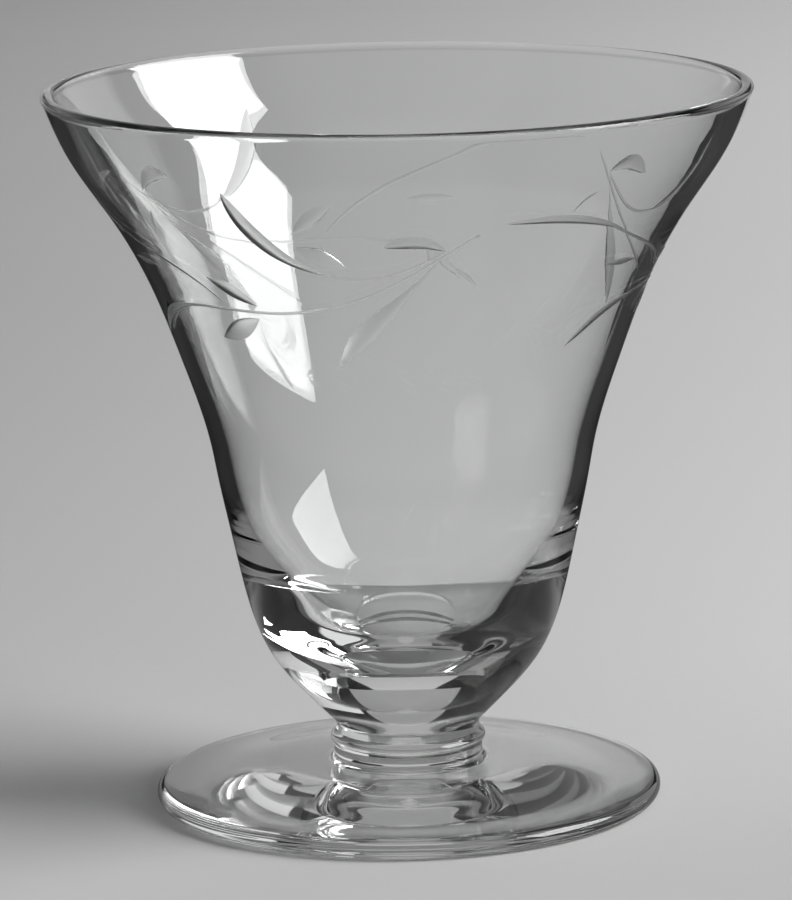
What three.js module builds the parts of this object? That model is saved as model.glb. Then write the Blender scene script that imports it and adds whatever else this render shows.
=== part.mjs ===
import * as THREE from 'three';

// Oyster cocktail glass: a trumpet bowl, a collar ring, a squat stem and a round foot.
// Every piece is turned about Z. Millimetres, with the foot's resting ring on z = 0.

const SEGMENTS = 72;

// Foot: a domed disc, its top as [height, radius], hollow underneath inside its resting ring.
const FOOT_RADIUS = 30.3;
const FOOT_EDGE = 2.3;
const FOOT_TOP = [
  [2.6, 26],
  [3.65, 20],
  [4.5, 15],
];
const HOLLOW_RADIUS = 26.2;
const HOLLOW_RISE = 1.12;
const SEAT_HEIGHT = 4.8;
const SEAT_RADIUS = 10.2;

// Stem: a solid button that spreads onto the foot.
const STEM_RADIUS = 8.9;
const STEM_TOP = 6.2;
const SPREAD_HEIGHT = 0.4;

// Collar: a half-round bead on the neck under the bowl.
const NECK_RADIUS = 8.6;
const COLLAR_TOP = 9.4;
const BEAD_RADIUS = 9.3;
const BEAD_HEIGHT = 7.45;
const BEAD_HALF = 0.85;

// Bowl: solid base as [height, radius], then wall as [height, outer radius, level thickness].
const HEIGHT = 86;
const LIP_RISE = 0.6;
const BASE = [
  [13, 12.1],
  [18, 16.2],
];
const WALL = [
  [26, 19.2, 4.05],
  [33, 20.75, 2.35],
  [40, 22.2, 1.9],
  [43.5, 22.85, 1.85],
  [54, 26.1, 1.75],
  [63, 29.55, 1.7],
  [71, 33.85, 1.7],
  [79, 39.1, 1.7],
  [HEIGHT - LIP_RISE, 41.9, 1.6],
];

// Well: the round bottom of the bowl's inside as [height, radius], with a shallow round mark.
const FLOOR_HEIGHT = 19.2;
const WELL = [
  [23.4, 13.5],
  [20.6, 10],
];
const MARK_RADIUS = 6.7;
const MARK_DEPTH = 0.3;

const GLASS = new THREE.MeshStandardMaterial({
  color: 0xeef2f2,
  roughness: 0.04,
  metalness: 0,
  transparent: true,
  opacity: 0.35,
});

/** Solid of revolution from [radius, height] pairs that start and end on the axis. */
function turned(name, outline) {
  const points = outline.map(([radius, height]) => new THREE.Vector2(radius, height));
  const geometry = new THREE.LatheGeometry(points, SEGMENTS);
  geometry.rotateX(Math.PI / 2);
  const mesh = new THREE.Mesh(geometry, GLASS);
  mesh.name = name;
  return mesh;
}

/** Smooth line through [radius, height] stations, with a few steps to each span. */
function smooth(stations, steps) {
  const points = stations.map(([radius, height]) => new THREE.Vector2(radius, height));
  const curve = new THREE.SplineCurve(points);
  return curve.getPoints(steps * (stations.length - 1)).map((p) => [p.x, p.y]);
}

/** Elliptical arc about [radius, height], from one angle to another in degrees. */
function arc(centre, reach, from, to, steps) {
  const line = [];
  for (let i = 0; i <= steps; i += 1) {
    const angle = THREE.MathUtils.degToRad(from + ((to - from) * i) / steps);
    line.push([centre[0] + reach[0] * Math.cos(angle), centre[1] + reach[1] * Math.sin(angle)]);
  }
  return line;
}

/** Foot: hollow underside, flat resting ring, half-round edge and a dome up to the stem's seat. */
function foot() {
  const half = FOOT_EDGE / 2;
  const edge = [FOOT_RADIUS - half, half];
  const slope = [[edge[0], FOOT_EDGE]];
  FOOT_TOP.forEach(([height, radius]) => slope.push([radius, height]));
  slope.push([SEAT_RADIUS, SEAT_HEIGHT]);
  return turned('foot', [
    ...hollow(5),
    ...arc(edge, [half, half], -90, 90, 8),
    ...smooth(slope, 3).slice(1),
    [0, SEAT_HEIGHT],
  ]);
}

/** Underside of the foot from the axis out: the rise falls off with the square of the radius. */
function hollow(steps) {
  const line = [];
  for (let i = 0; i <= steps; i += 1) {
    const share = i / steps;
    line.push([share * HOLLOW_RADIUS, HOLLOW_RISE * (1 - share * share)]);
  }
  return line;
}

/** Stem: short cylinder with a hollow quarter round where it spreads onto the foot. */
function stem() {
  const centre = [SEAT_RADIUS, SEAT_HEIGHT + SPREAD_HEIGHT];
  const reach = [SEAT_RADIUS - STEM_RADIUS, SPREAD_HEIGHT];
  return turned('stem', [
    [0, SEAT_HEIGHT],
    ...arc(centre, reach, 270, 180, 6),
    [STEM_RADIUS, STEM_TOP],
    [0, STEM_TOP],
  ]);
}

/** Collar: neck ring whose bead stands proud of the stem below and the bowl above. */
function collar() {
  const bead = smooth([
    [STEM_RADIUS, BEAD_HEIGHT - BEAD_HALF],
    [BEAD_RADIUS, BEAD_HEIGHT],
    [NECK_RADIUS, BEAD_HEIGHT + BEAD_HALF],
  ], 4);
  return turned('collar', [
    [0, STEM_TOP],
    [STEM_RADIUS, STEM_TOP],
    ...bead,
    [NECK_RADIUS, COLLAR_TOP],
    [0, COLLAR_TOP],
  ]);
}

/** Bowl: solid round base and flared wall with a rounded lip, hollow down to the well. */
function bowl() {
  const outer = [[NECK_RADIUS, COLLAR_TOP]];
  const inner = [[MARK_RADIUS, FLOOR_HEIGHT]];
  BASE.forEach(([height, radius]) => outer.push([radius, height]));
  [...WELL].reverse().forEach(([height, radius]) => inner.push([radius, height]));
  WALL.forEach(([height, radius, thickness]) => {
    outer.push([radius, height]);
    inner.push([radius - thickness, height]);
  });
  const [lipHeight, lipRadius, lipWall] = WALL[WALL.length - 1];
  const lip = arc([lipRadius - lipWall / 2, lipHeight], [lipWall / 2, LIP_RISE], 0, 180, 6);
  return turned('bowl', [
    [0, COLLAR_TOP],
    ...smooth(outer, 2),
    ...lip.slice(1, -1),
    ...smooth(inner, 2).reverse(),
    [MARK_RADIUS - MARK_DEPTH, FLOOR_HEIGHT - MARK_DEPTH],
    [0, FLOOR_HEIGHT - MARK_DEPTH],
  ]);
}

const glass = new THREE.Group();
glass.name = 'oyster_cocktail_glass';
glass.add(foot(), stem(), collar(), bowl());

export default glass;
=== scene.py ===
"""Oyster cocktail glass: clear turned glass with wheel-cut leaf sprays, standing on a pale table."""

import logging
import math
from dataclasses import dataclass, field
from enum import Enum
from typing import Any, Union

import bpy
import numpy as np
from mathutils import Matrix, Vector
from mathutils.geometry import delaunay_2d_cdt


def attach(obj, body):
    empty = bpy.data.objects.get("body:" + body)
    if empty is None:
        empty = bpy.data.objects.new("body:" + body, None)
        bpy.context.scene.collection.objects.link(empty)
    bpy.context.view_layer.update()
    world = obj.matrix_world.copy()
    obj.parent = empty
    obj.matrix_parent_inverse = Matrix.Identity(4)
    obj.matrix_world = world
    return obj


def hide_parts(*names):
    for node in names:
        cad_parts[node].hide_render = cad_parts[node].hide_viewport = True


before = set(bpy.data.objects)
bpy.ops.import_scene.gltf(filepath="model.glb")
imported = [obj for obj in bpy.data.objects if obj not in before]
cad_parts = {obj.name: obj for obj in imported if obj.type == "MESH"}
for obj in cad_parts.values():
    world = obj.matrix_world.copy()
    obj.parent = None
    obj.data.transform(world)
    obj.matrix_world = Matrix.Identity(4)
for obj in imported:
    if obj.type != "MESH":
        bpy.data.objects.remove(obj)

LOG = logging.getLogger("oyster_glass")
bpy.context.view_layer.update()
MM = 0.001
BODY = "root"
IOR = 1.52
MERGE_DIGITS = 5
SPLINE_STEPS = 12
ROUND_STEPS = 20
LIP_STEPS = 16
HOLLOW_STEPS = 24
TINY = 1e-6
FRONT = -90.0  # angle of the front, -Y, in degrees from +X
Line = np.ndarray
Pair = tuple[float, float]
Number = Union[float, "Socket"]

# Level discs where the gathers of glass are fused, as radius and height in millimetres.
SEAT: Pair = (10.2, 4.8)
BUTTON_TOP: Pair = (8.9, 6.2)
NECK: Pair = (8.6, 9.4)


class Face(Enum):
    """Material slots of a glass piece, in the order they sit on its mesh."""

    CLEAR = 0
    JOINT = 1
    CUT = 2


class Socket:
    """A shader value: wraps an output socket so that maths reads as Python expressions."""

    def __init__(self, shader: "Shader", output: bpy.types.NodeSocket) -> None:
        """Keeps the shader and the output socket."""
        self.shader = shader
        self.output = output

    def _math(self, operation: str, first: Number, second: Number = 0.0) -> "Socket":
        """Adds a Math node.

        Args:
            operation: Math node operation.
            first: Left value.
            second: Right value.

        Returns:
            The node's value.
        """
        return self.shader.node("ShaderNodeMath", {"operation": operation}, {0: first, 1: second})

    def __add__(self, other: Number) -> "Socket":
        """Sum."""
        return self._math("ADD", self, other)

    def __radd__(self, other: Number) -> "Socket":
        """Reflected sum."""
        return self._math("ADD", other, self)

    def __sub__(self, other: Number) -> "Socket":
        """Difference."""
        return self._math("SUBTRACT", self, other)

    def __rsub__(self, other: Number) -> "Socket":
        """Reflected difference."""
        return self._math("SUBTRACT", other, self)

    def __mul__(self, other: Number) -> "Socket":
        """Product."""
        return self._math("MULTIPLY", self, other)

    def __rmul__(self, other: Number) -> "Socket":
        """Reflected product."""
        return self._math("MULTIPLY", other, self)

    def __truediv__(self, other: Number) -> "Socket":
        """Quotient."""
        return self._math("DIVIDE", self, other)

    def __rtruediv__(self, other: Number) -> "Socket":
        """Reflected quotient."""
        return self._math("DIVIDE", other, self)

    def larger(self, other: Number) -> "Socket":
        """Larger of two values."""
        return self._math("MAXIMUM", self, other)

    def smaller(self, other: Number) -> "Socket":
        """Smaller of two values."""
        return self._math("MINIMUM", self, other)

    def absolute(self) -> "Socket":
        """Value without its sign."""
        return self._math("ABSOLUTE", self)


class Shader:
    """One material's or world's node tree, filled through a single node method."""

    def __init__(self, name: str, owner: Any = None) -> None:
        """Empties the node tree of a new material, or of the world that is given.

        Args:
            name: Name of the material or world.
            owner: World to fill; a new material when left out.
        """
        self.owner = owner or bpy.data.materials.new(name)
        self.owner.use_nodes = True
        self.tree = self.owner.node_tree
        self.tree.nodes.clear()

    def node(self, kind: str, settings: dict[str, Any] | None = None,
             inputs: dict[Any, Any] | None = None, out: Any = 0) -> Socket:
        """Adds one node.

        Args:
            kind: Node type, such as "ShaderNodeMath".
            settings: Node attributes, set first.
            inputs: Input name or index to a number, colour or Socket.
            out: Name or index of the output to return.

        Returns:
            The chosen output as a Socket.
        """
        made = self.tree.nodes.new(kind)
        for key, value in (settings or {}).items():
            setattr(made, key, value)
        for key, value in (inputs or {}).items():
            if isinstance(value, Socket):
                self.tree.links.new(value.output, made.inputs[key])
            else:
                made.inputs[key].default_value = value
        return Socket(self, made.outputs[out]) if made.outputs else Socket(self, None)

    def smooth_step(self, value: Socket, span: Pair) -> Socket:
        """Rises smoothly from 0 to 1 while the value goes from the low to the high end of a span."""
        low, high = span
        rise = {0: value, 1: low, 2: high}
        return self.node("ShaderNodeMapRange", {"interpolation_type": "SMOOTHSTEP"}, rise)

    def axes(self, place: Socket) -> tuple[Socket, ...]:
        """Splits a position into X, Y and Z."""
        return tuple(self.node("ShaderNodeSeparateXYZ", {}, {0: place}, out=axis) for axis in "XYZ")

    def noise(self, place: Socket, scale: float, detail: float) -> Socket:
        """Cloudy noise about 0.5 at a position."""
        inputs = {"Vector": place, "Scale": scale, "Detail": detail}
        return self.node("ShaderNodeTexNoise", {}, inputs)

    def bump(self, height: Socket, strength: float, distance: float) -> Socket:
        """Normal bent by a height."""
        inputs = {"Strength": strength, "Distance": distance, "Height": height}
        return self.node("ShaderNodeBump", {}, inputs)

    def light_path(self, out: str) -> Socket:
        """1 where a ray has the named kind or any of the named depth, else 0."""
        return self.node("ShaderNodeLightPath", out=out).smaller(1.0)

    def grey(self, level: Socket) -> Socket:
        """Colour of a grey level."""
        return self.node("ShaderNodeCombineColor", {}, {"Red": level, "Green": level, "Blue": level})

    def surface(self, closure: Socket) -> Any:
        """Links a shader to the output node and returns the material or world."""
        is_material = isinstance(self.owner, bpy.types.Material)
        kind = "ShaderNodeOutputMaterial" if is_material else "ShaderNodeOutputWorld"
        self.node(kind, {}, {"Surface": closure})
        return self.owner


@dataclass(frozen=True)
class ClearGlass:
    """Polished clear glass: faint waves from the forming and a trace of handling on the surface."""

    ior: float = IOR
    tint: tuple[float, ...] = (0.985, 0.99, 0.988, 1.0)
    wave_scale: float = 70.0
    wave_detail: float = 1.0
    wave_height: float = 0.000008
    wave_strength: float = 0.6
    smear_scale: float = 160.0
    smear_detail: float = 4.0
    smear_roughness: float = 0.04

    def material(self) -> bpy.types.Material:
        """Makes the material.

        Returns:
            Transmissive material whose bump is a slow noise and whose roughness has faint smears.
        """
        sh = Shader("clear_glass")
        place = sh.node("ShaderNodeTexCoord", out="Object")
        wave = sh.noise(place, self.wave_scale, self.wave_detail)
        smear = sh.noise(place, self.smear_scale, self.smear_detail)
        glass = sh.node("ShaderNodeBsdfPrincipled", {}, {
            "Base Color": self.tint,
            "Roughness": (smear - 0.5).larger(0.0) * self.smear_roughness,
            "IOR": self.ior,
            "Transmission Weight": 1.0,
            "Normal": sh.bump(wave, self.wave_strength, self.wave_height),
        })
        return sh.surface(glass)


@dataclass(frozen=True)
class CutGlass:
    """Grey wheel cut: fine grinding lines left unpolished."""

    ior: float = IOR
    tint: tuple[float, ...] = (0.95, 0.955, 0.955, 1.0)
    roughness: float = 0.42
    roughness_spread: float = 0.2
    grain_scale: float = 2600.0
    grain_detail: float = 3.0
    grain_height: float = 0.00003
    grain_strength: float = 0.35

    def material(self) -> bpy.types.Material:
        """Makes the material.

        Returns:
            Rough transmissive material with a fine grain in roughness and bump.
        """
        sh = Shader("cut_glass")
        place = sh.node("ShaderNodeTexCoord", out="Object")
        grain = sh.noise(place, self.grain_scale, self.grain_detail)
        glass = sh.node("ShaderNodeBsdfPrincipled", {}, {
            "Base Color": self.tint,
            "Roughness": self.roughness + (grain - 0.5) * self.roughness_spread,
            "IOR": self.ior,
            "Transmission Weight": 1.0,
            "Normal": sh.bump(grain, self.grain_strength, self.grain_height),
        })
        return sh.surface(glass)


@dataclass(frozen=True)
class FusedJoint:
    """Face inside the glass where two gathers are fused, which light crosses unbent."""

    def material(self) -> bpy.types.Material:
        """Makes a material that is see-through all over."""
        sh = Shader("fused_joint")
        return sh.surface(sh.node("ShaderNodeBsdfPrincipled", {}, {"Alpha": 0.0, "Roughness": 1.0}))


def squared(span: Pair) -> Pair:
    """Both ends of a span squared, for use with squared radii."""
    return span[0] ** 2, span[1] ** 2


@dataclass(frozen=True)
class Paper:
    """Pale grey table paper with a faint cloudiness and fibre grain; places are metres from the axis.

    The grey carries painted light: the window's fall of light over the table and a pool of light under the
    foot are painted into it. For light that the glass has mirrored, the sheet is dimmed and the table past
    it is painted dark, a painted reflection which draws the dark edges of the wall. Light mirrored off the
    outside of the glass still sees pale paper far off and in a wedge behind the glass.

    Attributes:
        grey: Plain grey of the paper.
        roughness: Roughness of the paper.
        specular: Specular level of the paper.
        cloud_scale: Scale of the slow noise.
        fibre_scale: Scale of the fine noise.
        noise_detail: Detail of both.
        clouding: Share of grey without noise, then what cloud and fibre add to it.
        pool: Radii between which the painted pool of light under the foot ends.
        pool_gain: Gain of painted light in the pool.
        side_reach: Farthest X to which the light changes from left to right.
        side_turn: Depths between which that change turns round.
        side_gain: Growth of that change over those depths, from -1 in front.
        near_light: Depths between which the light grows by near_gain to its full level.
        near_gain: Growth in front of the glass.
        far_light: Depths between which the light grows by far_gain past its full level.
        far_gain: Growth far behind the glass.
        window_side: X between which the paper darkens by window_dim towards the window.
        window_dim: Loss beside the window.
        sheet: Radii between which the sheet ends to mirrored light.
        sheet_dim: Share of the darkening that the sheet itself takes.
        dark_share: Painted darkening past the sheet, which only mirrored light sees.
        pale_far: Radii between which the table turns pale again to light mirrored off the outside.
        wedge: Half width of the pale wedge as a share of its depth.
        wedge_edge: Span of the wedge's soft edge.
    """

    grey: float = 0.66
    roughness: float = 0.9
    specular: float = 0.1
    cloud_scale: float = 9.0
    fibre_scale: float = 420.0
    noise_detail: float = 3.0
    clouding: tuple[float, float, float] = (0.97, 0.04, 0.02)
    pool: Pair = (0.022, 0.029)
    pool_gain: float = 0.45
    side_reach: float = 0.11
    side_turn: Pair = (-0.04, 0.08)
    side_gain: float = 2.6
    near_light: Pair = (-0.05, 0.03)
    near_gain: float = 0.07
    far_light: Pair = (0.25, 0.85)
    far_gain: float = 0.25
    window_side: Pair = (0.14, 0.6)
    window_dim: float = 0.7
    sheet: Pair = (0.078, 0.09)
    sheet_dim: float = 0.55
    dark_share: float = 0.95
    pale_far: Pair = (0.2, 0.35)
    wedge: float = 0.3
    wedge_edge: Pair = (0.0, 0.01)

    def material(self) -> bpy.types.Material:
        """Makes the material.

        Returns:
            Matte material whose grey follows noise, a painted fall of light and a painted darkness that
            only mirrored light sees.
        """
        sh = Shader("table_paper")
        place = sh.node("ShaderNodeTexCoord", out="Object")
        x, y, _ = sh.axes(place)
        cloud = sh.noise(place, self.cloud_scale, self.noise_detail)
        fibre = sh.noise(place, self.fibre_scale, self.noise_detail)
        plain, cloudy, fibrous = self.clouding
        texture = plain + cloud * cloudy + fibre * fibrous
        # Painted reflection: the paper goes dark where only mirrored rays see it, which draws the dark
        # edges of the wall.
        reflection_tone = 1.0 - self._painted_dark_reflection(sh, x, y) * self.dark_share
        paper = sh.node("ShaderNodeBsdfPrincipled", {}, {
            # The grey carries painted light: the painted fall of window light and the painted pool of
            # light under the foot.
            "Base Color": sh.grey(self.grey * self._light(sh, x, y) * texture * reflection_tone),
            "Roughness": self.roughness,
            "Specular IOR Level": self.specular,
        })
        return sh.surface(paper)

    def _painted_dark_reflection(self, sh: Shader, x: Socket, y: Socket) -> Socket:
        """Works out the painted darkness of the paper that mirrored rays see, a painted reflection for the
        dark edges of the wall.

        Args:
            sh: Shader that takes the nodes.
            x: Place from left to right.
            y: Place in depth.

        Returns:
            0 for straight rays, up to 1 past the sheet for mirrored ones.
        """
        reach = x * x + y * y
        mirrored = sh.light_path("Glossy Depth")
        outside = 1.0 - sh.light_path("Transmission Depth")
        past = sh.smooth_step(reach, squared(self.sheet))
        behind = sh.smooth_step(y * self.wedge - x.absolute(), self.wedge_edge)
        pale = outside * sh.smooth_step(reach, squared(self.pale_far)).larger(behind)
        return mirrored * (self.sheet_dim + (1.0 - self.sheet_dim) * past) * (1.0 - pale)

    def _light(self, sh: Shader, x: Socket, y: Socket) -> Socket:
        """Works out the painted fall of light over the paper, with a painted pool of light under the foot.

        Args:
            sh: Shader that takes the nodes.
            x: Place from left to right.
            y: Place in depth.

        Returns:
            Share of the plain grey.
        """
        # Painted light: the window's fall of light is painted into the grey, from side to side and from
        # front to back.
        turning = sh.smooth_step(y, self.side_turn) * self.side_gain - 1.0
        sideways = 1.0 + x.larger(-self.side_reach).smaller(self.side_reach) * turning
        full = (1.0 - self.near_gain) + self.near_gain * sh.smooth_step(y, self.near_light)
        depth = full + self.far_gain * sh.smooth_step(y, self.far_light)
        # Painted pool of light under the foot, where the glass focuses the window's light.
        pool = 1.0 - sh.smooth_step(x * x + y * y, squared(self.pool))
        by_window = 1.0 - self.window_dim * sh.smooth_step(x, self.window_side)
        return sideways * depth * (1.0 + self.pool_gain * pool) * by_window


@dataclass(frozen=True)
class DarkReflectionSheet:
    """Matte black sheet that only the glass shows: a painted dark reflection for the dark edges of the
    flare.
    """

    grey: float = 0.02

    def material(self) -> bpy.types.Material:
        """Makes the material."""
        sh = Shader("dark_reflection_sheet")
        # Black that only rays mirrored in the glass see: a painted dark reflection.
        tone = (self.grey, self.grey, self.grey, 1.0)
        dark_sheet = sh.node("ShaderNodeBsdfPrincipled", {}, {"Base Color": tone, "Roughness": 1.0})
        return sh.surface(dark_sheet)


def spline(stations: Line, steps: int) -> Line:
    """Natural cubic line through stations.

    The parameter t is the chord length summed from station to station. On each span the value is
    a * y0 + b * y1 + ((a^3 - a) * m0 + (b^3 - b) * m1) * h^2 / 6, with b running from 0 to 1,
    a = 1 - b, h the span's chord and m the second derivatives, which a tridiagonal system gives.

    Args:
        stations: Points, one row each.
        steps: Steps on every span.

    Returns:
        Points on the line, the stations among them.
    """
    p = np.asarray(stations, float)
    h = np.linalg.norm(np.diff(p, axis=0), axis=1)
    n = len(p)
    system = np.eye(n)
    rows = np.arange(1, n - 1)
    system[rows, rows - 1] = h[:-1]
    system[rows, rows] = 2.0 * (h[:-1] + h[1:])
    system[rows, rows + 1] = h[1:]
    slope = np.diff(p, axis=0) / h[:, None]
    right = np.zeros_like(p)
    right[1:-1] = 6.0 * np.diff(slope, axis=0)
    m = np.linalg.solve(system, right)
    b = np.linspace(0.0, 1.0, steps + 1)[None, :-1, None]
    a = 1.0 - b
    hh = h[:, None, None] ** 2 / 6.0
    chord = a * p[:-1, None] + b * p[1:, None]
    bend = (a ** 3 - a) * m[:-1, None] + (b ** 3 - b) * m[1:, None]
    body = chord + bend * hh
    return np.vstack([body.reshape(-1, p.shape[1]), p[-1:]])


def arc(centre: Pair, reach: Pair, start: float, end: float, steps: int) -> Line:
    """Elliptical arc: centre plus reach times (cos, sin) of an angle.

    Args:
        centre: Radius and height of the centre.
        reach: Half axes.
        start: First angle in degrees.
        end: Last angle in degrees.
        steps: Number of steps.

    Returns:
        Points of radius and height.
    """
    angle = np.radians(np.linspace(start, end, steps + 1))
    return np.array(centre) + np.array(reach) * np.stack([np.cos(angle), np.sin(angle)], axis=1)


@dataclass
class Stretch:
    """One stretch of a turned outline: radius and height points and the face that they carry."""

    line: Line
    face: Face = Face.CLEAR


@dataclass
class Skin:
    """Mesh arrays of one piece in millimetres."""

    points: np.ndarray
    faces: list[np.ndarray]
    slots: list[np.ndarray]

    def join(self, other: "Skin") -> "Skin":
        """Both skins in one, the other's faces renumbered."""
        moved = [f + len(self.points) for f in other.faces]
        points = np.vstack([self.points, other.points])
        return Skin(points, self.faces + moved, self.slots + other.slots)

    def make(self, name: str, materials: list[bpy.types.Material], crease: float) -> bpy.types.Object:
        """Puts the arrays into a mesh object.

        Args:
            name: Object and mesh name.
            materials: Materials in slot order.
            crease: Angle in degrees past which an edge is drawn sharp.

        Returns:
            The object, linked to the scene, with doubled points merged and smooth faces.
        """
        rounded = np.round(self.points, MERGE_DIGITS) + 0.0
        whole, index = np.unique(rounded, axis=0, return_inverse=True)
        rows = [row for f in self.faces for row in index.reshape(-1)[f].tolist()]
        mesh = bpy.data.meshes.new(name)
        mesh.from_pydata((whole * MM).tolist(), [], rows)
        mesh.polygons.foreach_set("material_index", np.concatenate(self.slots).astype(np.int32))
        mesh.polygons.foreach_set("use_smooth", np.ones(len(rows), dtype=bool))
        for material in materials:
            mesh.materials.append(material)
        mesh.validate()
        mesh.update()
        mesh.set_sharp_from_angle(angle=math.radians(crease))
        self._part_finishes(mesh)
        piece = bpy.data.objects.new(name, mesh)
        bpy.context.scene.collection.objects.link(piece)
        return piece

    @staticmethod
    def _part_finishes(mesh: bpy.types.Mesh) -> None:
        """Draws every edge sharp whose two faces carry different finishes."""
        edge = np.zeros(len(mesh.loops), dtype=np.int32)
        mesh.loops.foreach_get("edge_index", edge)
        slot = np.zeros(len(mesh.polygons), dtype=np.int32)
        mesh.polygons.foreach_get("material_index", slot)
        corners = np.zeros(len(mesh.polygons), dtype=np.int32)
        mesh.polygons.foreach_get("loop_total", corners)
        finish = np.repeat(slot, corners)
        least = np.full(len(mesh.edges), len(Face))
        most = np.full(len(mesh.edges), -1)
        np.minimum.at(least, edge, finish)
        np.maximum.at(most, edge, finish)
        sharp = np.zeros(len(mesh.edges), dtype=bool)
        mesh.edges.foreach_get("use_edge_sharp", sharp)
        mesh.edges.foreach_set("use_edge_sharp", sharp | (least != most))


def turn(stretches: list[Stretch], segments: int) -> Skin:
    """Turns an outline about Z: point (r, z) becomes (r cos a, r sin a, z) for angles a all round.

    Args:
        stretches: Outline in order, the solid on its left; an end on the axis is closed by a fan.
        segments: Facets round the axis.

    Returns:
        The turned skin.
    """
    outline = np.vstack([stretches[0].line] + [s.line[1:] for s in stretches[1:]])
    face = np.concatenate([np.full(len(s.line) - 1, s.face.value) for s in stretches])
    starts, ends = int(outline[0, 0] == 0.0), int(outline[-1, 0] == 0.0)
    rings = outline[starts:len(outline) - ends]
    band = face[starts:len(face) - ends]
    angle = ring_angles(segments)
    grid = np.stack([
        rings[:, None, 0] * np.cos(angle),
        rings[:, None, 0] * np.sin(angle),
        np.repeat(rings[:, None, 1], segments, axis=1),
    ], axis=-1)
    count = len(rings)
    near = np.arange(segments)
    far = (near + 1) % segments
    low = np.arange(count - 1)[:, None] * segments
    high = low + segments
    quads = np.stack([low + near, low + far, high + far, high + near], axis=-1).reshape(-1, 4)
    points = grid.reshape(-1, 3)
    faces, slots = [quads], [np.repeat(band, segments)]
    if starts:
        faces.append(np.stack([np.full(segments, len(points)), far, near], axis=-1))
        slots.append(np.full(segments, face[0]))
        points = np.vstack([points, [[0.0, 0.0, outline[0, 1]]]])
    if ends:
        top = (count - 1) * segments
        faces.append(np.stack([top + near, top + far, np.full(segments, len(points))], axis=-1))
        slots.append(np.full(segments, face[-1]))
        points = np.vstack([points, [[0.0, 0.0, outline[-1, 1]]]])
    return Skin(points, faces, slots)


def ring_angles(segments: int) -> np.ndarray:
    """Angles of the points of one ring, in radians from +X."""
    return np.radians(np.arange(segments) * (360.0 / segments))


def straight(*ends: Pair) -> Line:
    """Straight line through points of radius and height."""
    return np.array(ends, float)


def joint(disc: Pair, outward: bool) -> Stretch:
    """Level disc where two gathers are fused.

    Args:
        disc: Radius and height of its edge.
        outward: Whether it is drawn from the axis to its edge, or else back.

    Returns:
        The stretch, with the fused face.
    """
    line = straight((0.0, disc[1]), disc)
    return Stretch(line if outward else line[::-1], Face.JOINT)


@dataclass
class GlassPiece:
    """A turned piece of the glass that stands for one solid of the frame."""

    name: str
    node: str
    segments: int = 240
    crease: float = 24.0

    def outline(self) -> list[Stretch]:
        """Outline of the piece, from the axis up the outside."""
        raise NotImplementedError

    def skin(self) -> Skin:
        """Mesh arrays of the piece."""
        return turn(self.outline(), self.segments)

    def build(self, materials: list[bpy.types.Material]) -> bpy.types.Object:
        """Makes the piece and ties it to its solid.

        Args:
            materials: Materials in the order of Face.

        Returns:
            The finished object.
        """
        piece = self.skin().make(self.name, materials, self.crease)
        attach(piece, BODY)
        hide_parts(self.node)
        LOG.info("%s: %d faces", self.name, len(piece.data.polygons))
        return piece


@dataclass
class Foot(GlassPiece):
    """Domed round foot: hollow underside, flat resting ring, half-round edge, top rising to the stem."""

    name: str = "foot_disc"
    node: str = "foot"
    radius: float = 30.3
    edge: float = 2.3
    top: tuple[Pair, ...] = ((26.0, 2.6), (20.0, 3.65), (15.0, 4.5))
    hollow_radius: float = 26.2
    hollow_rise: float = 1.12
    seat: Pair = SEAT

    def outline(self) -> list[Stretch]:
        """Underside, edge, dome and seat; the underside's rise falls with the radius squared."""
        half = self.edge / 2.0
        rim = self.radius - half
        dome = np.array([(rim, self.edge), *self.top, self.seat])
        share = np.linspace(0.0, 1.0, HOLLOW_STEPS + 1)
        rise = self.hollow_rise * (1.0 - share ** 2)
        return [
            Stretch(np.stack([share * self.hollow_radius, rise], axis=1)),
            Stretch(straight((self.hollow_radius, 0.0), (rim, 0.0))),
            Stretch(arc((rim, half), (half, half), -90.0, 90.0, ROUND_STEPS)),
            Stretch(spline(dome, SPLINE_STEPS)),
            joint(self.seat, outward=False),
        ]


@dataclass
class Stem(GlassPiece):
    """Squat solid stem that spreads onto the foot in a hollow quarter round."""

    name: str = "stem_button"
    node: str = "stem"
    seat: Pair = SEAT
    top: Pair = BUTTON_TOP
    spread: float = 0.4

    def outline(self) -> list[Stretch]:
        """Lower joint, spread, short cylinder and upper joint."""
        radius = self.top[0]
        centre = (self.seat[0], self.seat[1] + self.spread)
        reach = (self.seat[0] - radius, self.spread)
        return [
            joint(self.seat, outward=True),
            Stretch(arc(centre, reach, 270.0, 180.0, ROUND_STEPS)),
            Stretch(straight((radius, centre[1]), self.top)),
            joint(self.top, outward=False),
        ]


@dataclass
class Collar(GlassPiece):
    """Neck ring with a bead that stands proud of the stem and the bowl."""

    name: str = "collar_ring"
    node: str = "collar"
    base: Pair = BUTTON_TOP
    top: Pair = NECK
    bead_radius: float = 9.3
    bead_height: float = 7.45
    bead_half: float = 0.85

    def outline(self) -> list[Stretch]:
        """Lower joint, bead, neck and upper joint."""
        bead = np.array([
            (self.base[0], self.bead_height - self.bead_half),
            (self.bead_radius, self.bead_height),
            (self.top[0], self.bead_height + self.bead_half),
        ])
        return [
            joint(self.base, outward=True),
            Stretch(straight(self.base, tuple(bead[0]))),
            Stretch(spline(bead, SPLINE_STEPS)),
            Stretch(straight(tuple(bead[-1]), self.top)),
            joint(self.top, outward=False),
        ]


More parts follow.
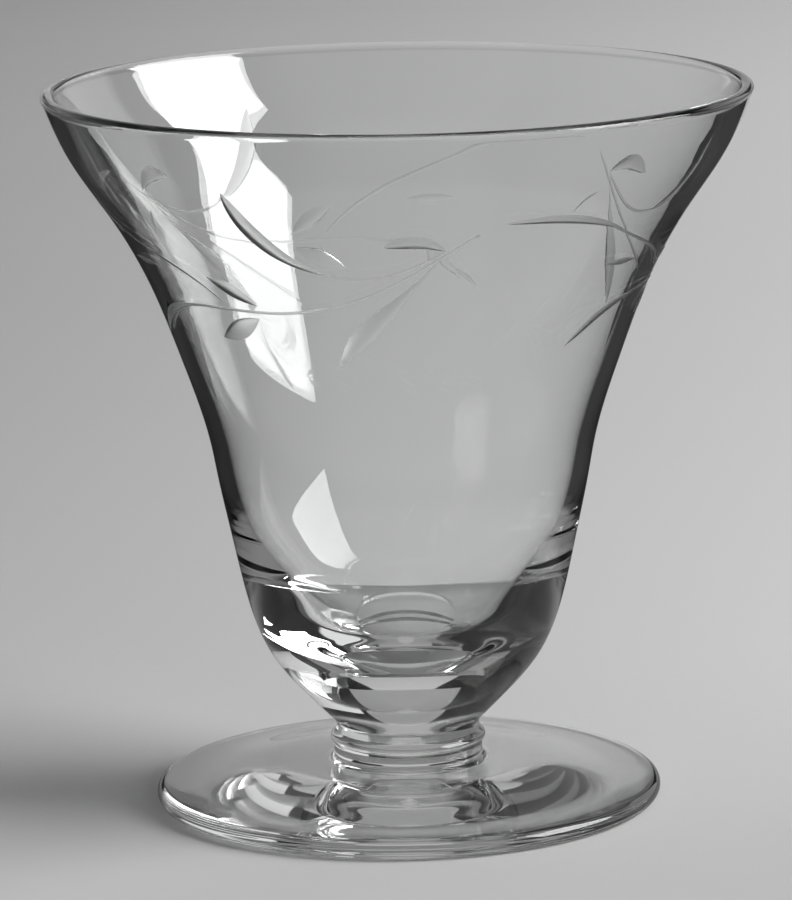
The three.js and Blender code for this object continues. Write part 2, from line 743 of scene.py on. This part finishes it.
@dataclass(frozen=True)
class Cut:
    """One wheel cut in the wall: pointed at both ends, with its keel nearer to one of its sides.

    Attributes:
        spine: Middle line, as bearing in degrees from the front and height in millimetres.
        width: Half width at the fullest place, in millimetres.
        fullest: Share of the spine, from its first point, where the cut is widest.
        lean: Place of the keel between the right side, -1, and the left side, +1, of the spine.
        plump: Power of the width; below 1 the cut stays wide towards its ends.
    """

    spine: tuple[Pair, ...]
    width: float
    fullest: float = 0.5
    lean: float = 0.0
    plump: float = 1.0

    def half_width(self, share: np.ndarray) -> np.ndarray:
        """Half width along the spine: width * sin(pi * t^k)^plump, with k set by the fullest place.

        Args:
            share: Shares t of the spine.

        Returns:
            Half widths in millimetres.
        """
        bend = math.log(0.5) / math.log(self.fullest)
        swell = np.sin(np.pi * np.clip(share, 0.0, 1.0) ** bend)
        return self.width * np.maximum(swell, 0.0) ** self.plump


def stalk(*spine: Pair) -> Cut:
    """Thin cut of nearly even width along a spine."""
    return Cut(spine, 0.2, plump=0.25)


@dataclass
class FlatCut:
    """A cut laid out on the flattened wall, with the lines that its mesh follows.

    Attributes:
        cut: The cut.
        path: Points of its spine on the flattened wall, in millimetres.
        depth_share: Depth of the keel as a share of the half width.
    """

    cut: Cut
    path: Line
    depth_share: float

    def __post_init__(self) -> None:
        """Works out the arc length and the unit normals of the spine."""
        step = np.diff(self.path, axis=0)
        length = np.linalg.norm(step, axis=1)
        self.along = np.concatenate([[0.0], np.cumsum(length)])
        self.share = self.along / self.along[-1]
        ahead = np.gradient(self.path, axis=0)
        ahead /= np.linalg.norm(ahead, axis=1)[:, None]
        self.left = np.stack([-ahead[:, 1], ahead[:, 0]], axis=1)

    def lines(self) -> list[Line]:
        """Outline, keel and the lines halfway between them: shifts of the spine by its half width."""
        keel = self.cut.lean
        shifts = (-1.0, (keel - 1.0) / 2.0, keel, (keel + 1.0) / 2.0, 1.0)
        half = self.cut.half_width(self.share)[:, None]
        return [self.path + shift * half * self.left for shift in shifts]

    def depth(self, points: np.ndarray, margin: float = 0.0) -> np.ndarray:
        """Depth of the cut under points of the flattened wall.

        The nearest place of the spine gives a share t and a signed distance d. Between the keel and a
        side the depth falls as keel depth * (1 - u^2), u being the share of the way to that side.

        Args:
            points: Points of the flattened wall.
            margin: Widening of the cut, in millimetres.

        Returns:
            Depths in millimetres, 0 outside the cut.
        """
        start, step = self.path[:-1], np.diff(self.path, axis=0)
        size = (step ** 2).sum(axis=1)
        part = np.clip(((points[:, None] - start) * step).sum(axis=2) / size, 0.0, 1.0)
        gap = points[:, None] - (start + part[:, :, None] * step)
        nearest = np.argmin((gap ** 2).sum(axis=2), axis=1)
        row = np.arange(len(points))
        gap, part = gap[row, nearest], part[row, nearest]
        share = (self.along[nearest] + part * np.sqrt(size[nearest])) / self.along[-1]
        side = step[nearest, 0] * gap[:, 1] - step[nearest, 1] * gap[:, 0]
        offset = np.sign(side) * np.linalg.norm(gap, axis=1)
        half = self.cut.half_width(share)
        keel = self.cut.lean * half
        reach = np.where(offset > keel, half - keel, half + keel) + margin
        way = np.abs(offset - keel) / np.maximum(reach, TINY)
        return self.depth_share * np.maximum(half, margin) * np.maximum(1.0 - way ** 2, 0.0)


@dataclass
class LeafSprays:
    """Band of the wall that carries the wheel-cut leaf sprays, one spray repeated round the axis.

    Attributes:
        low: Height where the band starts.
        high: Height where it ends.
        seam: Bearing of the band's seam, in degrees, which no cut crosses.
        repeats: Number of sprays.
        depth_share: Depth of a keel as a share of the half width.
        clear: Distance kept between a cut and the plain points of the wall, in millimetres.
        steps: Steps on every span of a spine.
        cuts: The cuts of one spray.
    """

    low: float = 55.5
    high: float = 80.5
    seam: float = 18.0
    repeats: int = 3
    depth_share: float = 0.3
    clear: float = 0.3
    steps: int = 7
    cuts: tuple[Cut, ...] = (
        # main stem
        stalk((-68.0, 62.0), (-52.7, 63.4), (-29.9, 63.6), (-11.8, 65.1), (2.9, 68.9), (14.2, 73.5)),
        # long crescent leaf and its stalk
        Cut(((-30.9, 78.7), (-27.8, 73.9), (-22.5, 70.7), (-15.0, 68.7)), 1.05, 0.42, -0.6),
        stalk((-16.5, 69.0), (-9.1, 68.3), (-2.0, 68.7), (8.9, 71.6)),
        # broad hanging leaf
        Cut(((8.9, 71.5), (-0.1, 65.5), (-9.4, 60.7), (-15.1, 57.2)), 1.3, 0.7, 0.6),
        # small upper leaf
        Cut(((-3.2, 72.3), (3.2, 72.9), (9.0, 71.6)), 0.95, 0.45, -0.6),
        # thin strokes
        Cut(((10.0, 69.7), (13.0, 68.5), (16.0, 66.9)), 0.3),
        Cut(((-73.1, 67.9), (-61.6, 67.7)), 0.45),
        # far leaf on a long stalk
        Cut(((-101.0, 74.7), (-92.0, 74.8), (-80.6, 73.7), (-72.0, 72.1)), 0.65, 0.42, -0.6),
        stalk((-78.0, 73.2), (-64.4, 70.3), (-48.1, 66.7), (-42.0, 64.4)),
        # drooping tail leaf
        Cut(((-77.7, 58.1), (-67.5, 61.5), (-52.0, 63.4)), 0.6, 0.42, -0.5),
        # leaf pair under and over the stem
        Cut(((-46.1, 59.8), (-38.0, 61.5), (-33.0, 62.8)), 1.25, 0.5, 0.6),
        Cut(((-44.5, 67.4), (-38.6, 66.1), (-32.5, 64.3)), 0.95, 0.5, -0.5),
    )

    def split(self, line: Line) -> tuple[Line, Line, Line]:
        """Cuts the outer line into parts below, in and above the band, which share their end points."""
        first = int(np.argmin(np.abs(line[:, 1] - self.low)))
        last = int(np.argmin(np.abs(line[:, 1] - self.high)))
        return line[:first + 1], line[first:last + 1], line[last:]

    def skin(self, line: Line, segments: int) -> Skin:
        """Meshes the band with every cut as a real groove.

        The wall is flattened to (mean radius * bearing, length along the outline). A constrained
        triangulation takes up the rings' points and the cuts' lines. Each point then goes back to its
        radius and height and is sunk along the wall's normal by the deepest cut there.

        Args:
            line: Outer line of the band, radius and height.
            segments: Facets round the axis.

        Returns:
            The band's skin.
        """
        step = np.linalg.norm(np.diff(line, axis=0), axis=1)
        length = np.concatenate([[0.0], np.cumsum(step)])
        radius = float(line[:, 0].mean())
        flat = self._lay_out(line, length, radius)
        column = np.radians(np.arange(segments + 1) * (360.0 / segments)) * radius
        u, v = np.meshgrid(column, length)
        plain = np.stack([u.ravel(), v.ravel()], axis=1)
        edge = (u == column[0]) | (u == column[-1]) | (v == length[0]) | (v == length[-1])
        free = np.max([c.depth(plain, self.clear) for c in flat], axis=0) <= 0.0
        corners = [plain[edge.ravel() | free]]
        links: list[np.ndarray] = []
        count = len(corners[0])
        for path in (path for c in flat for path in c.lines()):
            number = np.arange(len(path) - 1) + count
            links.append(np.stack([number, number + 1], axis=1))
            corners.append(path)
            count += len(path)
        tris, spots = self._triangulate(np.vstack(corners), np.vstack(links))
        sunk = np.max([c.depth(spots) for c in flat], axis=0)
        middle = spots[tris].mean(axis=1)
        in_cut = np.max([c.depth(middle) for c in flat], axis=0) > 0.0
        slots = np.where(in_cut, Face.CUT.value, Face.CLEAR.value)
        return Skin(self._roll_up(spots, sunk, line, length, radius), [tris], [slots])

    def _lay_out(self, line: Line, length: np.ndarray, radius: float) -> list[FlatCut]:
        """Places every cut of every spray on the flattened wall.

        Args:
            line: Outer line of the band.
            length: Arc length at its points.
            radius: Mean radius.

        Returns:
            The cuts on the flattened wall.
        """
        flat = []
        for turn_by in np.arange(self.repeats) * (360.0 / self.repeats):
            for cut in self.cuts:
                spine = np.array(cut.spine)
                bearing = (spine[:, 0] + turn_by - self.seam + 360.0 * (turn_by == 0.0)) % 360.0
                along = np.interp(spine[:, 1], line[:, 1], length)
                path = spline(np.stack([np.radians(bearing) * radius, along], axis=1), self.steps)
                flat.append(FlatCut(cut, path, self.depth_share))
        return flat

    @staticmethod
    def _triangulate(points: np.ndarray, links: np.ndarray) -> tuple[np.ndarray, np.ndarray]:
        """Constrained triangles over points.

        Args:
            points: Points of the flattened wall.
            links: Pairs of points that stay edges.

        Returns:
            Triangles, and all points with those that crossing links add.
        """
        near = 1e-4
        done = delaunay_2d_cdt([Vector(p) for p in points.tolist()], links.tolist(), [], 0, near)
        spots = np.array([tuple(p) for p in done[0]], dtype=float)
        given = np.array([ids[0] if ids else -1 for ids in done[3]])
        spots[given >= 0] = points[given[given >= 0]]
        return np.array(done[2], dtype=int), spots

    def _roll_up(self, spots: np.ndarray, sunk: np.ndarray, line: Line,
                 length: np.ndarray, radius: float) -> np.ndarray:
        """Takes points of the flattened wall back onto it.

        Args:
            spots: Points of the flattened wall.
            sunk: Depth under the wall at each.
            line: Outer line of the band.
            length: Arc length at its points.
            radius: Mean radius of the flattening.

        Returns:
            Points in space.
        """
        slope = np.gradient(line, length, axis=0)
        inward = np.stack([-slope[:, 1], slope[:, 0]], axis=1)
        place = [np.interp(spots[:, 1], length, line[:, k]) for k in (0, 1)]
        lean = [np.interp(spots[:, 1], length, inward[:, k]) for k in (0, 1)]
        r, z = (place[k] + sunk * lean[k] for k in (0, 1))
        angle = spots[:, 0] / radius + math.radians(self.seam + FRONT)
        return np.stack([r * np.cos(angle), r * np.sin(angle), z], axis=1)


@dataclass
class Bowl(GlassPiece):
    """Trumpet bowl: solid base, flared wall, rounded lip and a round well inside.

    Attributes:
        lip_rise: Height of the rounded lip over the last station of the wall.
        neck: Radius and height of the joint with the collar.
        base: Radius and height of the stations of the solid base.
        wall: Height, outer radius and level thickness of the stations of the wall.
        well: Radius and height of the stations of the well.
        floor: Height of the well's floor round the mark.
        mark_radius: Radius of the shallow round mark in the floor.
        mark_depth: Depth of the mark and width of its slope.
        sprays: The wheel-cut band.
    """

    name: str = "bowl_trumpet"
    node: str = "bowl"
    lip_rise: float = 0.6
    neck: Pair = NECK
    base: tuple[Pair, ...] = ((12.1, 13.0), (16.2, 18.0))
    wall: tuple[tuple[float, float, float], ...] = (
        (26.0, 19.2, 4.05), (33.0, 20.75, 2.35), (40.0, 22.2, 1.9),
        (43.5, 22.85, 1.85), (54.0, 26.1, 1.75), (63.0, 29.55, 1.7),
        (71.0, 33.85, 1.7), (79.0, 39.1, 1.7), (85.4, 41.9, 1.6),
    )
    well: tuple[Pair, ...] = ((10.0, 20.6), (13.5, 23.4))
    floor: float = 19.2
    mark_radius: float = 6.7
    mark_depth: float = 0.3
    crease: float = 30.0
    sprays: LeafSprays = field(default_factory=LeafSprays)

    def outer(self) -> Line:
        """Outer line from the neck to the lip."""
        stations = [self.neck, *self.base, *((r, z) for z, r, _ in self.wall)]
        return spline(np.array(stations), SPLINE_STEPS)

    def inner(self) -> Line:
        """Inner line from the lip down to the mark on the floor."""
        wall = ((r - t, z) for z, r, t in self.wall)
        stations = [(self.mark_radius, self.floor), *self.well, *wall]
        return spline(np.array(stations), SPLINE_STEPS)[::-1]

    def skin(self) -> Skin:
        """Mesh arrays: turned base, cut band, and turned lip, inner wall and floor."""
        below, band, above = self.sprays.split(self.outer())
        base = turn([joint(self.neck, outward=True), Stretch(below)], self.segments)
        inside = turn([Stretch(above), *self.hollow()], self.segments)
        return base.join(self.sprays.skin(band, self.segments)).join(inside)

    def hollow(self) -> list[Stretch]:
        """Lip, inner wall and floor."""
        lip_z, lip_r, lip_t = self.wall[-1]
        half = lip_t / 2.0
        mark = self.mark_radius - self.mark_depth
        sunk = self.floor - self.mark_depth
        return [
            Stretch(arc((lip_r - half, lip_z), (half, self.lip_rise), 0.0, 180.0, LIP_STEPS)),
            Stretch(self.inner()),
            Stretch(straight((self.mark_radius, self.floor), (mark, sunk), (0.0, sunk))),
        ]


@dataclass(frozen=True)
class Room:
    """Surroundings of the table: greys by bearing right of +Y, in degrees, and by z, the elevation's sine.

    The camera sees plain pale grey, and so does light near the horizon unless it was mirrored inside the
    glass. All other light sees a dark room with a pale backdrop, a bright wall right of it, a grey wall
    behind the camera and a grey ceiling.

    Attributes:
        dark: Grey of the room between its lit parts.
        pale: Grey that the camera sees.
        horizon: z between which that grey gives way to the room.
        backdrop_middle: Bearing of the backdrop's middle.
        backdrop_half: Half width of the backdrop at the horizon, and its growth above.
        backdrop_widens: z between which it widens.
        backdrop_edge: Bearings of its soft edge, from its half width.
        backdrop_grey: Grey of the backdrop at the horizon, and its loss above.
        backdrop_fades: z between which it loses that.
        wall_start: Bearings between which the bright wall starts.
        wall_end: Bearings between which it ends.
        wall_top: z between which it ends.
        wall_grey: Grey of the bright wall.
        rear: Bearings to either side between which the wall behind the camera starts.
        rear_grey: Grey of that wall.
        ceiling: z between which the ceiling starts.
        ceiling_grey: Grey of the ceiling.
    """

    dark: float = 0.015
    pale: float = 0.55
    horizon: Pair = (0.06, 0.12)
    backdrop_middle: float = 1.0
    backdrop_half: Pair = (8.0, 12.0)
    backdrop_widens: Pair = (0.12, 0.35)
    backdrop_edge: Pair = (-0.5, 0.5)
    backdrop_grey: Pair = (0.5, 0.2)
    backdrop_fades: Pair = (0.1, 0.5)
    wall_start: Pair = (23.5, 24.5)
    wall_end: Pair = (58.0, 62.0)
    wall_top: Pair = (0.485, 0.5)
    wall_grey: float = 0.75
    rear: Pair = (115.0, 145.0)
    rear_grey: float = 0.2
    ceiling: Pair = (0.82, 0.93)
    ceiling_grey: float = 0.2

    def fill(self) -> None:
        """Makes the world and gives it to the scene."""
        world = bpy.data.worlds.new("room")
        bpy.context.scene.world = world
        sh = Shader("room", world)
        x, y, z = sh.axes(sh.node("ShaderNodeTexCoord", out="Generated"))
        angle = sh.node("ShaderNodeMath", {"operation": "ARCTAN2"}, {0: x, 1: y})
        room = self._walls(sh, angle * math.degrees(1.0), z)
        inside = sh.light_path("Glossy Depth") * sh.light_path("Transmission Depth")
        through = (1.0 - inside) * (1.0 - sh.smooth_step(z, self.horizon))
        seen = sh.light_path("Is Camera Ray").larger(through)
        tone = sh.grey(seen * self.pale + (1.0 - seen) * room)
        sh.surface(sh.node("ShaderNodeBackground", {}, {"Color": tone, "Strength": 1.0}))

    def _walls(self, sh: Shader, bearing: Socket, z: Socket) -> Socket:
        """Adds up the room's lit parts.

        Args:
            sh: Shader that takes the nodes.
            bearing: Bearing of the ray.
            z: Sine of its elevation.

        Returns:
            Grey of the room.
        """
        half, growth = self.backdrop_half
        aside = (bearing - self.backdrop_middle).absolute()
        width = half + growth * sh.smooth_step(z, self.backdrop_widens)
        grey, loss = self.backdrop_grey
        backdrop = 1.0 - sh.smooth_step(aside - width, self.backdrop_edge)
        backdrop = backdrop * (grey - loss * sh.smooth_step(z, self.backdrop_fades))
        wall = sh.smooth_step(bearing, self.wall_start) * (1.0 - sh.smooth_step(bearing, self.wall_end))
        wall = wall * (1.0 - sh.smooth_step(z, self.wall_top))
        rear = sh.smooth_step(bearing.absolute(), self.rear)
        ceiling = sh.smooth_step(z, self.ceiling)
        lit = self.dark + backdrop + wall * self.wall_grey + rear * self.rear_grey
        return lit + ceiling * self.ceiling_grey


@dataclass
class Studio:
    """Pale table, window light from the right and the camera of the photograph.

    Attributes:
        focal: Focal length in millimetres.
        sensor: Width of the sensor in millimetres.
        distance: Distance of the camera from the axis, in millimetres.
        rise: Height of the camera over the table, in millimetres.
        pitch: Downward tilt of the camera in degrees.
        yaw: Turn of the camera to the right in degrees.
        roll: Turn of the camera about its view in degrees.
        table_reach: Half side of the table in metres.
        table_cells: Faces along a side of the table.
        table_drop: Gap between table and foot, in millimetres.
        window_place: Middle of the window in metres.
        window_aim: Point that the window faces.
        window_size: Width and height of the window in metres.
        window_power: Power of the window in watts.
        dark_sheet_lift: Height of the painted dark reflection sheets over the foot's rest, in millimetres.
        left_dark_sheet: Plan of the left painted dark reflection sheet in millimetres.
        right_dark_sheet: Plan of the right painted dark reflection sheet in millimetres.
    """

    focal: float = 213.0
    sensor: float = 36.0
    distance: float = 621.6
    rise: float = 168.7
    pitch: float = 11.5
    yaw: float = -0.078
    roll: float = -1.02
    table_reach: float = 4.0
    table_cells: int = 8
    table_drop: float = 0.05
    window_place: tuple[float, float, float] = (1.0, -0.12, 0.78)
    window_aim: tuple[float, float, float] = (0.0, -0.12, 0.78)
    window_size: Pair = (0.86, 0.94)
    window_power: float = 24.0
    dark_sheet_lift: float = 0.1
    left_dark_sheet: tuple[Pair, ...] = (
        (-71.0, 140.0), (-74.0, 236.0), (-79.0, 345.0), (-89.0, 390.0),
        (-100.0, 410.0), (-170.0, 410.0), (-170.0, 140.0),
    )
    right_dark_sheet: tuple[Pair, ...] = (
        (84.0, 160.0), (170.0, 160.0), (170.0, 370.0),
        (110.0, 370.0), (98.0, 340.0), (85.0, 265.0),
    )

    def camera(self) -> None:
        """Sets the camera behind -Y, tilted down by pitch and turned by yaw and roll."""
        pitch, yaw, roll = (math.radians(v) for v in (self.pitch, self.yaw, self.roll))
        flat = math.cos(pitch)
        ahead = Vector((math.sin(yaw) * flat, math.cos(yaw) * flat, -math.sin(pitch)))
        level = Vector((math.cos(yaw), -math.sin(yaw), 0.0))
        upright = level.cross(ahead)
        right = math.cos(roll) * level + math.sin(roll) * upright
        top = math.cos(roll) * upright - math.sin(roll) * level
        data = bpy.data.cameras.new("photo_camera")
        data.lens = self.focal
        data.sensor_width = self.sensor
        camera = bpy.data.objects.new("photo_camera", data)
        turn_to = Matrix((right, top, -ahead)).transposed().to_4x4()
        place = Matrix.Translation((0.0, -self.distance * MM, self.rise * MM))
        camera.matrix_world = place @ turn_to
        bpy.context.scene.collection.objects.link(camera)
        bpy.context.scene.camera = camera

    def table(self) -> None:
        """Lays a wide paper-covered table just under the foot."""
        side = self.table_cells + 1
        ticks = np.linspace(-self.table_reach, self.table_reach, side)
        u, v = np.meshgrid(ticks, ticks, indexing="ij")
        points = np.stack([u, v, np.full_like(u, -self.table_drop * MM)], axis=-1).reshape(-1, 3)
        cells = np.arange(self.table_cells)
        low = (cells[:, None] * side + cells).reshape(-1)
        faces = np.stack([low, low + side, low + side + 1, low + 1], axis=-1)
        mesh = bpy.data.meshes.new("table_top")
        mesh.from_pydata(points.tolist(), [], faces.tolist())
        mesh.materials.append(Paper().material())
        table = bpy.data.objects.new("table_top", mesh)
        bpy.context.scene.collection.objects.link(table)

    def window(self) -> None:
        """Hangs the window as a rectangular soft light."""
        data = bpy.data.lights.new("window", "AREA")
        data.shape = "RECTANGLE"
        data.size, data.size_y = self.window_size
        data.energy = self.window_power
        lamp = bpy.data.objects.new("window", data)
        facing = Vector(self.window_aim) - Vector(self.window_place)
        turn_to = facing.to_track_quat("-Z", "Y").to_matrix().to_4x4()
        lamp.matrix_world = Matrix.Translation(self.window_place) @ turn_to
        bpy.context.scene.collection.objects.link(lamp)

    def dark_sheet(self, name: str, corners: tuple[Pair, ...]) -> None:
        """Lays a black sheet on the table that only the glass shows: a painted dark reflection that draws
        the dark edges of its flare.

        Args:
            name: Object name.
            corners: Plan of the sheet in millimetres, counter-clockwise.
        """
        plan = np.array(corners, float)
        points = np.column_stack([plan, np.full(len(plan), self.dark_sheet_lift)]) * MM
        mesh = bpy.data.meshes.new(name)
        mesh.from_pydata(points.tolist(), [], [tuple(range(len(plan)))])
        mesh.materials.append(DarkReflectionSheet().material())
        dark_sheet = bpy.data.objects.new(name, mesh)
        # Painted dark reflection: the sheet is hidden from the camera, from diffuse light and from
        # shadows, so only the glass shows it.
        dark_sheet.visible_camera = dark_sheet.visible_diffuse = dark_sheet.visible_shadow = False
        bpy.context.scene.collection.objects.link(dark_sheet)

    def build(self) -> None:
        """Sets camera, table, surroundings, window, the painted dark reflection sheets and the light paths
        that glass needs.
        """
        self.camera()
        self.table()
        Room().fill()
        self.window()
        self.dark_sheet("painted_reflection_left", self.left_dark_sheet)
        self.dark_sheet("painted_reflection_right", self.right_dark_sheet)
        scene = bpy.context.scene
        scene.view_settings.view_transform = "Standard"
        scene.cycles.max_bounces = 32
        scene.cycles.transmission_bounces = 24
        scene.cycles.glossy_bounces = 16
        scene.cycles.transparent_max_bounces = 24


def main() -> None:
    """Builds the studio and the glass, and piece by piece."""
    logging.basicConfig(level=logging.INFO, format="%(name)s: %(message)s")
    Studio().build()
    materials = [ClearGlass().material(), FusedJoint().material(), CutGlass().material()]
    for part in (Foot(), Stem(), Collar(), Bowl()):
        part.build(materials)


if __name__ == "__main__":
    main()
